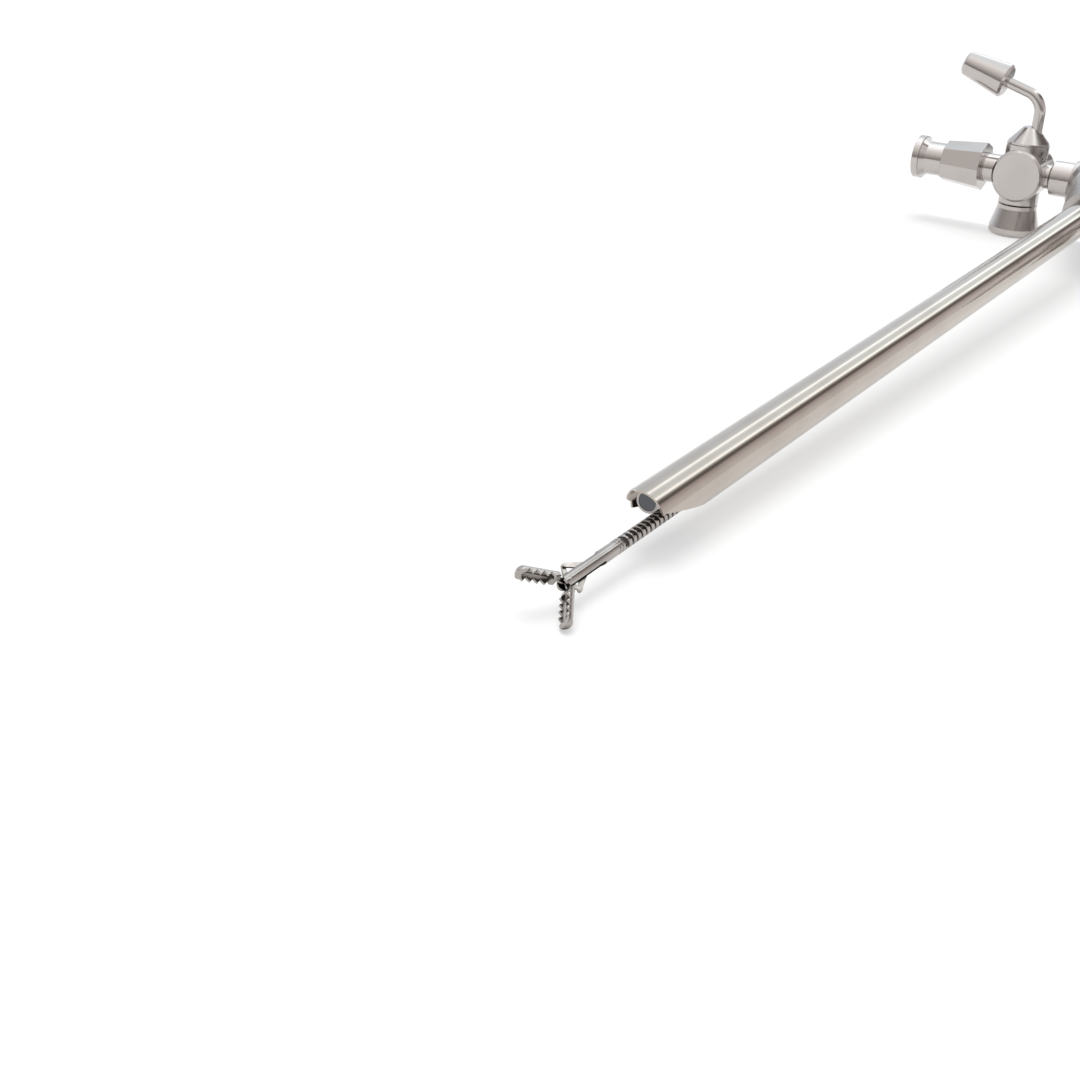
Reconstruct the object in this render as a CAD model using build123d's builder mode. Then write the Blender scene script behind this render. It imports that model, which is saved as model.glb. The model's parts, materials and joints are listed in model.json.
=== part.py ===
from build123d import *
import os
from math import asin, cos, degrees, radians, sin, tan

os.makedirs("parts", exist_ok=True)

# Rigid endoscope: a rod lens telescope in an operating sheath with two stopcocks, and grasping
# forceps through the working channel. X runs along the telescope towards its distal tip, Z is
# up, and the origin is the middle of the eyepiece rim. All lengths are in millimetres.

# Clearances
fit_gap = 0.02
running_gap = 0.05
slide_gap = 0.1
pin_gap = 0.015
mesh_gap = 0.04
overrun = 1.0

# Edges
fine_bevel = 0.4
edge_bevel = 0.5
broad_bevel = 0.8

# Telescope
eyepiece_radius = 16.0
eyepiece_rim = 6.0
eyepiece_neck_radius = 10.5
eyepiece_neck_length = 7.0
eyepiece_wall = 2.0
cup_mouth_radius = 14.4
cup_depth = 3.2
thread_relief = 1.0
ocular_radius = 5.0
ocular_wall = 0.9
cover_glass_thickness = 1.2
cover_glass_recess = 0.6
lens_setback = 3.0
lens_edge = 2.4
lens_bulge = 0.8
body_radius = 9.5
body_length = 41.5
body_wall = 2.2
body_end_wall = 3.0
band_start = 4.0
band_width = 3.0
band_depth = 0.6
band_slope = 0.6
nose_length = 8.0
nose_radius = 6.4
nose_seat = 2.5
flange_length = 3.0
spigot_length = 16.0
spigot_radius = 4.4
spigot_taper = 0.4
telescope_radius = 1.35
telescope_wall = 0.25
optic_radius = 0.85
optic_wall = 0.1
window_thickness = 0.5
rod_lens_length = 32.0
rod_lens_spacing = 3.0

# Light post
light_post_setback = 18.0
light_boss_radius = 5.6
light_boss_height = 3.0
light_boss_floor = 0.4
light_stem_radius = 3.4
light_stem_seat = 0.2
light_foot_height = 1.8
light_foot_slope = 0.6
light_stem_length = 9.0
light_adapter_lift = 3.2
light_adapter_radius = 4.5
light_adapter_collar = 5.8
light_adapter_collar_length = 4.5
light_adapter_length = 15.0
light_groove_setback = 8.0
light_groove_width = 2.0
light_fibre_radius = 2.0

# Sheath
working_length = 196.2
mouth_setback = 1.4
sheath_radius = 3.0
sheath_wall = 0.22
telescope_rise = 1.2
mouth_slope = 14.0
mouth_roll = 12.0
mouth_lip = 0.3
mouth_lip_depth = 0.6
corner_relief = 1.8
corner_deep = 0.8
corner_shallow = 0.2
corner_round = 1.2
sheath_seat = 6.0

# Hub
hub_radius = 9.0
hub_rear = 14.0
hub_front = 13.0
hub_cone = 15.0
hub_nose_radius = 4.4
hub_shoulder = 3.0
hub_chamber_setback = 8.0
hub_edge = 1.2
side_boss_height = 1.2
boss_length = 14.0
boss_lead = 10.0
boss_wall = 1.2
lock_ring_radius = 10.5
lock_ring_length = 14.0
lock_ring_flutes = 12
lock_flute_radius = 2.2
lock_flute_offset = 1.6
lock_spigot_radius = 7.6
lock_spigot_length = 10.0
lock_pin_radius = 1.0
lock_pin_reach = 8.9
lock_turn = 30.0

# Stopcocks, measured outwards from the sheath's axis
tap_reach = 21.0
tap_barrel_radius = 5.4
tap_barrel_width = 9.6
tap_boss_radius = 4.4
tap_tail_radius = 2.5
tap_collar_radius = 3.6
tap_collar_length = 4.2
tap_collar_slope = 0.6
tap_boss_height = 0.8
tap_bore = 1.5
plug_top_radius = 3.4
plug_bottom_radius = 2.7
plug_neck = 1.6
plug_head_radius = 4.2
plug_head_rim = 0.4
plug_head_height = 3.4
lever_seat = 2.5
plug_head_tip = 1.5
skirt_waist_radius = 4.1
skirt_radius = 5.2
skirt_height = 6.4
skirt_gap = 0.3
skirt_rim = 1.6
skirt_floor = 1.4
skirt_wall = 0.9
leaf_thickness = 0.3
leaf_gap = 0.25
luer_neck_radius = 3.0
luer_neck_length = 3.4
luer_neck_overlap = 0.4
luer_nut_radius = 5.1
luer_nut_length = 8.6
luer_nut_sides = 8
luer_nut_taper = 5.0
luer_nut_floor = 0.8
luer_body_radius = 3.5
luer_body_length = 6.4
luer_flange_radius = 4.5
luer_flange = 1.4
luer_flange_slope = 1.2
luer_flange_step = 0.3
luer_cone_mouth = 2.15
luer_cone_root = 1.9
luer_cone_depth = 7.5
luer_spigot_radius = 2.3
luer_spigot_length = 6.2
lever_radius = 1.15
lever_lean = 1.2
lever_top = 18.0
lever_reach = 6.6
lever_bend = 4.2
knob_tilt = 17.0
knob_root_radius = 3.5
knob_end_radius = 2.5
knob_length = 9.8
knob_grip = 0.4
knob_bore = 0.45

# Working channel
channel_drop = 1.85
channel_radius = 1.1
bend_lead = 24.0
bend_radius = 60.0
bend_angle = 30.0
port_radius = 2.6
port_length = 29.0
port_head_radius = 4.2
port_head_length = 6.0
port_cap_radius = 5.4
port_cap_lap = 2.0
port_cap_length = 9.0
port_cap_cone = 2.0
port_cap_flutes = 10
port_flute_radius = 1.2
port_flute_offset = 0.8
port_rim = 1.0
seal_thickness = 2.4

# Forceps shaft and head
forceps_radius = 0.82
coil_bore = 0.45
coil_pitch = 0.95
coil_turns = 32
coil_groove = 0.17
coil_valley = 0.3
coil_overlap = 4.0
forceps_reach = 14.5
clevis_rear = 10.4
clevis_front = 0.75
clevis_bore = 0.55
clevis_band = 0.3
clevis_groove = 0.08
slot_rear = 6.2
slot_half = 0.5
head_roll = 55.0
jaw_length = 5.9
jaw_radius = 0.92
jaw_open = 36.7
jaw_heel = 1.05
jaw_nose = 0.75
jaw_nose_share = 50.0
jaw_nose_full = 38.0
tang_eye = 0.34
tang_root = 0.5
tang_root_height = 0.44
trough_radius = 0.66
tooth_pitch = 0.88
tooth_height = 0.5
tooth_count = 4
tang_inner = 0.02
tang_outer = 0.25
link_inner = 0.27
link_outer = 0.48
tail_length = 1.8
tail_angle = 18.0
link_length = 3.2
link_end_radius = 0.24
yoke_length = 1.8
yoke_half = 0.34
yoke_stem = 2.4
link_drive_radius = 0.42
pin_radius = 0.16
drive_pin_radius = 0.13
rivet_radius = 0.11
open_pivot_gap = 0.13
wire_radius = 0.22

# Forceps handle, in its own plane along the shaft
handle_start = 52.0
head_length = 17.0
head_radius = 3.6
sleeve_lead = 8.0
sleeve_seat = 7.0
sleeve_radius = 1.5
sleeve_length = 14.0
rod_radius = 0.7
ball_radius = 1.4
ball_station = 80.0
lever_arm = 4.5
plate_thickness = 3.0
cheek_thickness = 1.6
ring_radius = 11.0
ring_bar = 3.0
ring_overlap = 2.5
finger_ring_station = 62.0
finger_ring_drop = 33.0
thumb_ring_station = 101.0
thumb_ring_drop = 32.0
arm_width = 7.0
screw_radius = 2.0
screw_head_radius = 3.2
screw_head_height = 1.1
screw_wall = 1.2
lever_eye_wall = 1.0
ball_slot = 6.0
ball_slot_spread = 2.0
ball_boss_radius = 3.0
ball_boss_drop = 0.6
cheek_root_setback = 4.0
cheek_root_lift = 1.0
cheek_root_radius = 3.0
arm_setback = 8.0
arm_taper = 1.0
thumb_arm_setback = 6.0


# Stations and directions that follow from the sizes above

sheath_z = -telescope_rise
channel_z = sheath_z - channel_drop
rim_rear = -eyepiece_rim / 2
rim_front = eyepiece_rim / 2
cone_front = rim_front + eyepiece_radius - eyepiece_neck_radius
neck_front = cone_front + eyepiece_neck_length
body_front = neck_front + body_length
nose_front = body_front + nose_length
spigot_front = nose_front + spigot_length
flange_front = nose_front + flange_length
lock_rear = flange_front
hub_back = lock_rear + lock_spigot_length
tap_x = hub_back + hub_rear
tip_x = tap_x + working_length
hub_face = tap_x + hub_front
hub_tip = hub_face + hub_cone
telescope_face = tip_x - mouth_setback
light_post_x = body_front - light_post_setback
pivot_x = tip_x + forceps_reach
bend_start = tap_x + bend_lead
coil_front = pivot_x - clevis_rear
hub_chamber_radius = sheath_radius + fit_gap
collar_start = hub_radius + side_boss_height
turn = radians(bend_angle)
bend_end_x = bend_start - bend_radius * sin(turn)
bend_end_z = channel_z - bend_radius * (1 - cos(turn))

tail_reach = radians(jaw_open + tail_angle)
elbow_x = -tail_length * cos(tail_reach)
elbow_y = tail_length * sin(tail_reach)
link_lean = asin(elbow_y / link_length)
drive_x = elbow_x - link_length * cos(link_lean)
closed_lean = asin(tail_length * sin(radians(tail_angle)) / link_length)
drive_closed = -tail_length * cos(radians(tail_angle)) - link_length * cos(closed_lean)
drive_stroke = drive_x - drive_closed


def long_plane(height, roll_angle=0.0):
    """The upright plane through a line along X at a height, rolled about that line."""
    tilt = radians(roll_angle)
    return Plane(origin=(0, 0, height), x_dir=(1, 0, 0), z_dir=(0, -cos(tilt), -sin(tilt)))


telescope_plane = long_plane(0)
sheath_plane = long_plane(sheath_z)
channel_plane = long_plane(channel_z)
mouth_plane = long_plane(sheath_z, mouth_roll)
handle_plane = Plane(
    origin=(bend_end_x, 0, bend_end_z),
    x_dir=(-cos(turn), 0, -sin(turn)),
    z_dir=(sin(turn), 0, -cos(turn)),
)
roll = radians(head_roll)
across = Vector(0, cos(roll), sin(roll))
opening = Vector(0, sin(roll), -cos(roll))
head_plane = Plane(origin=(pivot_x, 0, channel_z), x_dir=(1, 0, 0), z_dir=across)


def turned(profile, plane, mode=Mode.ADD):
    """Revolve a closed outline of (station, radius) points about the plane's own X axis."""
    with BuildSketch(plane) as section:
        with BuildLine():
            Polyline(*profile, close=True)
        make_face()
    revolve(section.sketch, axis=Axis(plane.origin, plane.x_dir), mode=mode)


def rod(plane, start, end, radius, mode=Mode.ADD):
    """A round bar along the plane's X axis between two stations."""
    turned([(start, 0), (start, radius), (end, radius), (end, 0)], plane, mode)


def tube(plane, start, end, outer, inner):
    """A round tube along the plane's X axis between two stations."""
    turned([(start, inner), (start, outer), (end, outer), (end, inner)], plane)


def bend(outer, inner=0.0, mode=Mode.ADD):
    """A bar or tube that follows the arc of the working channel."""
    with BuildSketch(Plane(origin=(bend_start, 0, channel_z), x_dir=(0, 1, 0), z_dir=(1, 0, 0))) as section:
        Circle(outer)
        if inner:
            Circle(inner, mode=Mode.SUBTRACT)
    centre = (bend_start, 0, channel_z - bend_radius)
    revolve(section.sketch, axis=Axis(centre, (0, -1, 0)), revolution_arc=bend_angle, mode=mode)


def write(builder, name):
    """Label a finished sub-part and write its file."""
    builder.part.label = name
    export_step(builder.part, f"parts/{name}.step")


# Eyepiece: a funnel with a camera clamp's rim, screwed on the body's rear spigot

seat_radius = ocular_radius + ocular_wall + fit_gap
spigot_rear = cone_front - thread_relief
with BuildPart() as eyepiece_cup:
    turned(
        [
            (rim_rear, cup_mouth_radius),
            (rim_rear, eyepiece_radius),
            (rim_front, eyepiece_radius),
            (cone_front, eyepiece_neck_radius),
            (neck_front, eyepiece_neck_radius),
            (neck_front, eyepiece_neck_radius - eyepiece_wall),
            (spigot_rear, eyepiece_neck_radius - eyepiece_wall),
            (spigot_rear, seat_radius),
            (rim_rear + cup_depth, seat_radius),
        ],
        telescope_plane,
    )
write(eyepiece_cup, "eyepiece_cup")

glass_x = rim_rear + cup_depth + cover_glass_recess
with BuildPart() as eyepiece_window:
    rod(telescope_plane, glass_x, glass_x + cover_glass_thickness, seat_radius - fit_gap)
write(eyepiece_window, "eyepiece_window")

barrel_rear = glass_x + cover_glass_thickness
barrel_front = neck_front - thread_relief
with BuildPart() as ocular_barrel:
    tube(telescope_plane, barrel_rear, barrel_front, seat_radius - fit_gap, ocular_radius)
write(ocular_barrel, "ocular_barrel")

with BuildPart() as ocular_lens:
    with BuildSketch(telescope_plane):
        with BuildLine():
            lens_rear = barrel_rear + lens_setback
            lens_front = lens_rear + lens_edge
            edge = ocular_radius - fit_gap
            curve = (edge**2 + lens_bulge**2) / (2 * lens_bulge)
            Line((lens_rear - lens_bulge, 0), (lens_front + lens_bulge, 0))
            RadiusArc((lens_front + lens_bulge, 0), (lens_front, edge), -curve)
            Line((lens_front, edge), (lens_rear, edge))
            RadiusArc((lens_rear, edge), (lens_rear - lens_bulge, 0), -curve)
        make_face()
    revolve(axis=Axis.X)
write(ocular_lens, "ocular_lens")

# Telescope body: a turned housing with the light post's boss, a nose and the locking spigot

bore_radius = body_radius - body_wall
band_rear = neck_front + band_start
band_front = band_rear + band_width
light_boss_top = body_radius + light_boss_height
boss_plane = Plane(origin=(light_post_x, 0, 0), x_dir=(0, 0, 1), z_dir=(0, -1, 0))
with BuildPart() as telescope_body:
    turned(
        [
            (spigot_rear, seat_radius),
            (spigot_rear, eyepiece_neck_radius - eyepiece_wall - fit_gap),
            (neck_front, eyepiece_neck_radius - eyepiece_wall - fit_gap),
            (neck_front, body_radius),
            (band_rear, body_radius),
            (band_rear + band_slope, body_radius - band_depth),
            (band_front - band_slope, body_radius - band_depth),
            (band_front, body_radius),
            (body_front, body_radius),
            (nose_front - nose_seat, nose_radius),
            (flange_front, nose_radius),
            (flange_front, spigot_radius),
            (spigot_front, spigot_radius - spigot_taper),
            (spigot_front, telescope_radius + fit_gap),
            (body_front, telescope_radius + fit_gap),
            (body_front - body_end_wall, bore_radius),
            (barrel_front + edge_bevel, bore_radius),
            (barrel_front + edge_bevel, seat_radius),
        ],
        telescope_plane,
    )
    rod(boss_plane, bore_radius + light_boss_floor, light_boss_top, light_boss_radius)
    rod(boss_plane, bore_radius - overrun, light_boss_top, light_stem_radius, Mode.SUBTRACT)
write(telescope_body, "telescope_body")

stem_root = bore_radius + light_stem_seat
stem_top = light_boss_top + light_stem_length
foot_radius = light_boss_radius - broad_bevel
foot_top = light_boss_top + light_foot_height
with BuildPart() as light_post:
    turned(
        [
            (stem_root, light_fibre_radius + fit_gap),
            (stem_root, light_stem_radius - fit_gap),
            (light_boss_top, light_stem_radius - fit_gap),
            (light_boss_top, foot_radius),
            (foot_top, foot_radius),
            (foot_top + light_foot_slope, light_stem_radius),
            (stem_top, light_stem_radius),
            (stem_top, light_fibre_radius + fit_gap),
        ],
        boss_plane,
    )
write(light_post, "light_post")

adapter_base = light_boss_top + light_adapter_lift
collar_top = adapter_base + light_adapter_collar_length
adapter_top = adapter_base + light_adapter_length
groove_low = adapter_top - light_groove_setback
groove_high = groove_low + light_groove_width
with BuildPart() as light_adapter:
    turned(
        [
            (adapter_base, light_stem_radius + fit_gap),
            (adapter_base, light_adapter_collar - edge_bevel),
            (adapter_base + edge_bevel, light_adapter_collar),
            (collar_top, light_adapter_collar),
            (collar_top + edge_bevel, light_adapter_radius),
            (groove_low, light_adapter_radius),
            (groove_low + fine_bevel, light_adapter_radius - band_depth),
            (groove_high - fine_bevel, light_adapter_radius - band_depth),
            (groove_high, light_adapter_radius),
            (adapter_top, light_adapter_radius),
            (adapter_top, light_fibre_radius + fit_gap),
            (stem_top, light_fibre_radius + fit_gap),
            (stem_top, light_stem_radius + fit_gap),
        ],
        boss_plane,
    )
write(light_adapter, "light_adapter")

with BuildPart() as light_guide_rod:
    rod(boss_plane, stem_root, adapter_top - light_stem_seat, light_fibre_radius)
write(light_guide_rod, "light_guide_rod")

# Telescope shaft: outer tube, light fibres, optic tube, rod lenses and the distal window

shaft_rear = body_front + 2 * thread_relief
tube_bore = telescope_radius - telescope_wall
window_rear = telescope_face - window_thickness
with BuildPart() as telescope_tube:
    tube(telescope_plane, shaft_rear, telescope_face, telescope_radius, tube_bore)
write(telescope_tube, "telescope_tube")

with BuildPart() as distal_window:
    rod(telescope_plane, window_rear, telescope_face - running_gap, tube_bore - fit_gap)
write(distal_window, "distal_window")

with BuildPart() as light_fibres:
    tube(telescope_plane, shaft_rear, window_rear, tube_bore - fit_gap, optic_radius + fit_gap)
write(light_fibres, "light_fibres")

with BuildPart() as optic_tube:
    tube(telescope_plane, shaft_rear, window_rear, optic_radius, optic_radius - optic_wall)
write(optic_tube, "optic_tube")

lens_step = rod_lens_length + rod_lens_spacing
lens_count = int((window_rear - shaft_rear) / lens_step)
with BuildPart() as rod_lenses:
    for index in range(lens_count):
        start = window_rear - rod_lens_spacing - index * lens_step
        rod(telescope_plane, start - rod_lens_length, start, optic_radius - optic_wall - fit_gap)
write(rod_lenses, "rod_lenses")

# Sheath tube: square end, open below along a slanted cut, with its far corner relieved

cut_depth = 2 * sheath_radius
cut_run = (mouth_lip + cut_depth) / tan(radians(mouth_slope))
lobe_x = tip_x - corner_relief
lobe_mid = corner_round * (1 - sin(radians(45)))
with BuildPart() as sheath_tube:
    tube(sheath_plane, hub_tip - sheath_seat, tip_x, sheath_radius, sheath_radius - sheath_wall)
    with BuildSketch(mouth_plane):
        with BuildLine():
            Polyline(
                (tip_x + overrun, mouth_lip),
                (tip_x - mouth_lip_depth, mouth_lip),
                (tip_x - cut_run, -cut_depth),
                (tip_x + overrun, -cut_depth),
                close=True,
            )
        make_face()
    extrude(amount=cut_depth, both=True, mode=Mode.SUBTRACT)
    with BuildSketch(Plane.XY.offset(sheath_z)):
        with BuildLine():
            Polyline(
                (tip_x + overrun, -sheath_radius - overrun),
                (lobe_x, -sheath_radius - overrun),
                (lobe_x, -corner_deep * sheath_radius),
                (tip_x + 0.1 * overrun, -corner_shallow * sheath_radius),
                (tip_x + overrun, -corner_shallow * sheath_radius),
                close=True,
            )
        make_face()
    extrude(amount=cut_depth, both=True, mode=Mode.SUBTRACT)
    with BuildSketch(sheath_plane.offset(corner_shallow * sheath_radius)):
        with BuildLine():
            Polyline(
                (lobe_x - corner_round, 0),
                (lobe_x - corner_round, -overrun),
                (lobe_x + overrun, -overrun),
                (lobe_x + overrun, corner_round),
                (lobe_x, corner_round),
            )
            ThreePointArc(
                (lobe_x, corner_round),
                (lobe_x - lobe_mid, lobe_mid),
                (lobe_x - corner_round, 0),
            )
        make_face()
    extrude(amount=sheath_radius, mode=Mode.SUBTRACT)
write(sheath_tube, "sheath_tube")

# Hub: a turned body on the sheath's axis, bored for the telescope, the water and the channel

chamber_rear = hub_back + hub_chamber_setback
with BuildPart() as hub_body:
    turned(
        [
            (hub_back, 0),
            (hub_back, hub_radius),
            (hub_face - hub_shoulder, hub_radius),
            (hub_face, hub_radius - hub_edge),
            (hub_tip, hub_nose_radius),
            (hub_tip, 0),
        ],
        sheath_plane,
    )
    rod(telescope_plane, lock_rear, hub_back + overrun, lock_spigot_radius)
    rod(handle_plane, -boss_lead, boss_length, port_radius + boss_wall)
    for side in (-1, 1):
        side_plane = Plane(origin=(tap_x, 0, sheath_z), x_dir=(0, side, 0), z_dir=(0, 0, 1))
        rod(side_plane, 0, collar_start, tap_collar_radius + edge_bevel)
        rod(side_plane, 0, collar_start + overrun, tap_tail_radius + fit_gap, Mode.SUBTRACT)
    rod(sheath_plane, chamber_rear, hub_tip + overrun, hub_chamber_radius, Mode.SUBTRACT)
    turned(
        [
            (lock_rear - overrun, 0),
            (lock_rear - overrun, spigot_radius + fit_gap),
            (flange_front + overrun, spigot_radius + fit_gap),
            (spigot_front + edge_bevel, spigot_radius - spigot_taper + fit_gap),
            (spigot_front + edge_bevel, telescope_radius + slide_gap),
            (chamber_rear + overrun, telescope_radius + slide_gap),
            (chamber_rear + overrun, 0),
        ],
        telescope_plane,
        Mode.SUBTRACT,
    )
    bend(channel_radius, mode=Mode.SUBTRACT)
    rod(handle_plane, 0, boss_length + overrun, port_radius + fit_gap, Mode.SUBTRACT)
write(hub_body, "hub_body")

# Lock: a pin in the telescope's flange, held by a fluted ring that turns on the hub's spigot

pin_x = flange_front - flange_length / 2
pin_plane = Plane(origin=(pin_x, 0, 0), x_dir=(0, 0, 1), z_dir=(0, -1, 0))
with BuildPart() as lock_pin:
    rod(pin_plane, nose_radius, lock_pin_reach, lock_pin_radius)
write(lock_pin, "lock_pin")

ring_front = hub_back - running_gap
ring_rear = ring_front - lock_ring_length
groove_radius = lock_pin_reach + slide_gap
groove_half = lock_pin_radius + slide_gap
pin_half_angle = degrees(asin(groove_half / nose_radius))
groove_plane = long_plane(0, -pin_half_angle)
slot_plane = long_plane(0, lock_turn)
with BuildPart() as lock_ring:
    turned(
        [
            (ring_rear, nose_radius + slide_gap),
            (ring_rear, lock_ring_radius - broad_bevel),
            (ring_rear + broad_bevel, lock_ring_radius),
            (ring_front - broad_bevel, lock_ring_radius),
            (ring_front, lock_ring_radius - broad_bevel),
            (ring_front, lock_spigot_radius + running_gap),
            (lock_rear - running_gap, lock_spigot_radius + running_gap),
            (lock_rear - running_gap, nose_radius + slide_gap),
        ],
        telescope_plane,
    )
    with BuildSketch(groove_plane):
        with BuildLine():
            Polyline(
                (pin_x - groove_half, nose_radius - overrun),
                (pin_x - groove_half, groove_radius),
                (pin_x + groove_half, groove_radius),
                (pin_x + groove_half, nose_radius - overrun),
                close=True,
            )
        make_face()
    revolve(axis=Axis.X, revolution_arc=lock_turn + 2 * pin_half_angle, mode=Mode.SUBTRACT)
    with BuildSketch(slot_plane):
        with BuildLine():
            Polyline(
                (ring_rear - overrun, nose_radius - overrun),
                (ring_rear - overrun, groove_radius),
                (pin_x + groove_half, groove_radius),
                (pin_x + groove_half, nose_radius - overrun),
                close=True,
            )
        make_face()
    extrude(amount=groove_half, both=True, mode=Mode.SUBTRACT)
    with BuildSketch(Plane.YZ.offset(ring_rear)):
        with PolarLocations(lock_ring_radius + lock_flute_offset, lock_ring_flutes, start_angle=15):
            Circle(lock_flute_radius)
    extrude(amount=lock_ring_length, mode=Mode.SUBTRACT)
write(lock_ring, "lock_ring")

# Stopcocks: a drum with a tapered plug, a gooseneck lever, a sprung cap and a luer connector

drum_inner = tap_reach - tap_barrel_radius
drum_outer = tap_reach + tap_barrel_radius
boss_top = tap_barrel_radius + tap_boss_height
plug_top = boss_top + mesh_gap
head_top = plug_top + plug_head_height
lever_root = head_top - lever_seat
cap_top = -boss_top - skirt_gap
cap_bottom = cap_top - skirt_height
spring_low = cap_bottom + skirt_floor
spring_step = (-boss_top - spring_low) / 3
skirt_bore = skirt_waist_radius - skirt_wall
nut_start = drum_outer + luer_neck_length - luer_neck_overlap
nut_end = nut_start + luer_nut_length
luer_start = nut_start + luer_nut_floor
luer_end = nut_end + luer_body_length
spigot_end = luer_start + luer_spigot_length
collar_end = collar_start + tap_collar_length
flange_start = luer_end - luer_flange
cone_root = luer_end - luer_cone_depth

for name, side in (("inflow", -1), ("outflow", 1)):
    flow_plane = Plane(origin=(tap_x, 0, sheath_z), x_dir=(0, side, 0), z_dir=(side, 0, 0))
    drum_plane = Plane(
        origin=(tap_x, side * tap_reach, sheath_z), x_dir=(1, 0, 0), z_dir=(0, -1, 0)
    )
    plug_plane = Plane(
        origin=(tap_x, side * tap_reach, sheath_z), x_dir=(0, 0, 1), z_dir=(side, 0, 0)
    )
    stem_plane = Plane(
        origin=(tap_x, side * (tap_reach - lever_lean), sheath_z), x_dir=(0, 0, 1), z_dir=(side, 0, 0)
    )
    lever_plane = Plane(
        origin=(tap_x, side * tap_reach, sheath_z), x_dir=(0, side, 0), z_dir=(side, 0, 0)
    )
    plug_slope = (plug_top_radius - plug_bottom_radius) / (2 * boss_top)

    with BuildPart() as tap_body:
        half = tap_barrel_width / 2
        turned(
            [
                (-half, 0),
                (-half, tap_barrel_radius - edge_bevel),
                (edge_bevel - half, tap_barrel_radius),
                (half - edge_bevel, tap_barrel_radius),
                (half, tap_barrel_radius - edge_bevel),
                (half, 0),
            ],
            drum_plane,
        )
        turned(
            [
                (-boss_top, 0),
                (-boss_top, skirt_waist_radius),
                (-boss_top / 2, skirt_waist_radius),
                (0, tap_boss_radius),
                (boss_top, tap_boss_radius),
                (boss_top, 0),
            ],
            plug_plane,
        )
        turned(
            [
                (hub_radius, 0),
                (hub_radius, tap_tail_radius),
                (collar_start, tap_tail_radius),
                (collar_start, tap_collar_radius),
                (collar_end, tap_collar_radius),
                (collar_end + tap_collar_slope, tap_tail_radius),
                (tap_reach, tap_tail_radius),
                (tap_reach, luer_neck_radius),
                (nut_start, luer_neck_radius),
                (nut_start, luer_spigot_radius),
                (spigot_end, luer_spigot_radius),
                (spigot_end, 0),
            ],
            flow_plane,
        )
        rod(flow_plane, hub_radius - overrun, spigot_end + overrun, tap_bore, Mode.SUBTRACT)
        turned(
            [
                (-boss_top - overrun, 0),
                (-boss_top - overrun, plug_bottom_radius - plug_slope * overrun + mesh_gap),
                (boss_top + overrun, plug_top_radius + plug_slope * overrun + mesh_gap),
                (boss_top + overrun, 0),
            ],
            plug_plane,
            Mode.SUBTRACT,
        )
    write(tap_body, f"{name}_tap_body")

    with BuildPart() as tap_plug:
        turned(
            [
                (-boss_top, 0),
                (-boss_top, plug_bottom_radius),
                (boss_top, plug_top_radius),
                (plug_top, plug_top_radius),
                (plug_top, plug_head_radius),
                (plug_top + plug_head_rim, plug_head_radius),
                (head_top, plug_head_tip),
                (head_top, 0),
            ],
            plug_plane,
        )
        rod(plug_plane, cap_bottom - edge_bevel, 0, plug_neck)
        rod(stem_plane, lever_root, head_top + overrun, lever_radius + fit_gap, Mode.SUBTRACT)
        rod(flow_plane, drum_inner, drum_outer, tap_bore, Mode.SUBTRACT)
    write(tap_plug, f"{name}_tap_plug")

    with BuildPart() as tap_cap:
        turned(
            [
                (cap_top, skirt_bore),
                (cap_top, skirt_waist_radius),
                (cap_top - broad_bevel, skirt_waist_radius),
                (cap_bottom + skirt_rim, skirt_radius),
                (cap_bottom + edge_bevel, skirt_radius),
                (cap_bottom, skirt_radius - edge_bevel),
                (cap_bottom, plug_neck + fit_gap),
                (spring_low, plug_neck + fit_gap),
                (spring_low, skirt_bore),
            ],
            plug_plane,
        )
    write(tap_cap, f"{name}_tap_cap")

    with BuildPart() as tap_spring:
        inner = plug_neck + leaf_gap
        outer = skirt_bore - leaf_gap
        upper = [(-boss_top, inner), (-boss_top - spring_step, outer)]
        lower = [(spring_low + spring_step, inner), (spring_low, outer)]
        rise = upper + lower
        turned(
            [(height - leaf_thickness, radius) for height, radius in rise[:-1]]
            + [(spring_low, outer), (spring_low + leaf_thickness, outer)]
            + [(height, radius) for height, radius in reversed(rise[1:-1])]
            + [(-boss_top, inner)],
            plug_plane,
        )
    write(tap_spring, f"{name}_tap_spring")

    tilt = radians(knob_tilt)
    grip = knob_grip * knob_length
    grip_end = (lever_reach + grip, lever_top + grip * tan(tilt))
    corner_top = lever_top - (lever_reach + lever_lean) * tan(tilt)
    with BuildPart() as tap_lever:
        with BuildLine(lever_plane) as spine:
            FilletPolyline(
                (-lever_lean, lever_root),
                (-lever_lean, corner_top),
                grip_end,
                radius=lever_bend,
            )
        with BuildSketch(Plane(origin=spine.line @ 0, z_dir=spine.line % 0)):
            Circle(lever_radius)
        sweep(path=spine.line)
    write(tap_lever, f"{name}_tap_lever")

    knob_plane = Plane(
        origin=lever_plane.from_local_coords(Vector(lever_reach, lever_top, 0)),
        x_dir=(0, side * cos(tilt), sin(tilt)),
        z_dir=(side, 0, 0),
    )
    with BuildPart() as tap_knob:
        turned(
            [
                (0, lever_radius + fit_gap),
                (0, knob_root_radius - edge_bevel),
                (edge_bevel, knob_root_radius),
                (knob_length - fine_bevel, knob_end_radius),
                (knob_length, knob_end_radius - fine_bevel),
                (knob_length, 0),
                (knob_bore * knob_length, 0),
                (knob_bore * knob_length, lever_radius + fit_gap),
            ],
            knob_plane,
        )
    write(tap_knob, f"{name}_tap_knob")

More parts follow.
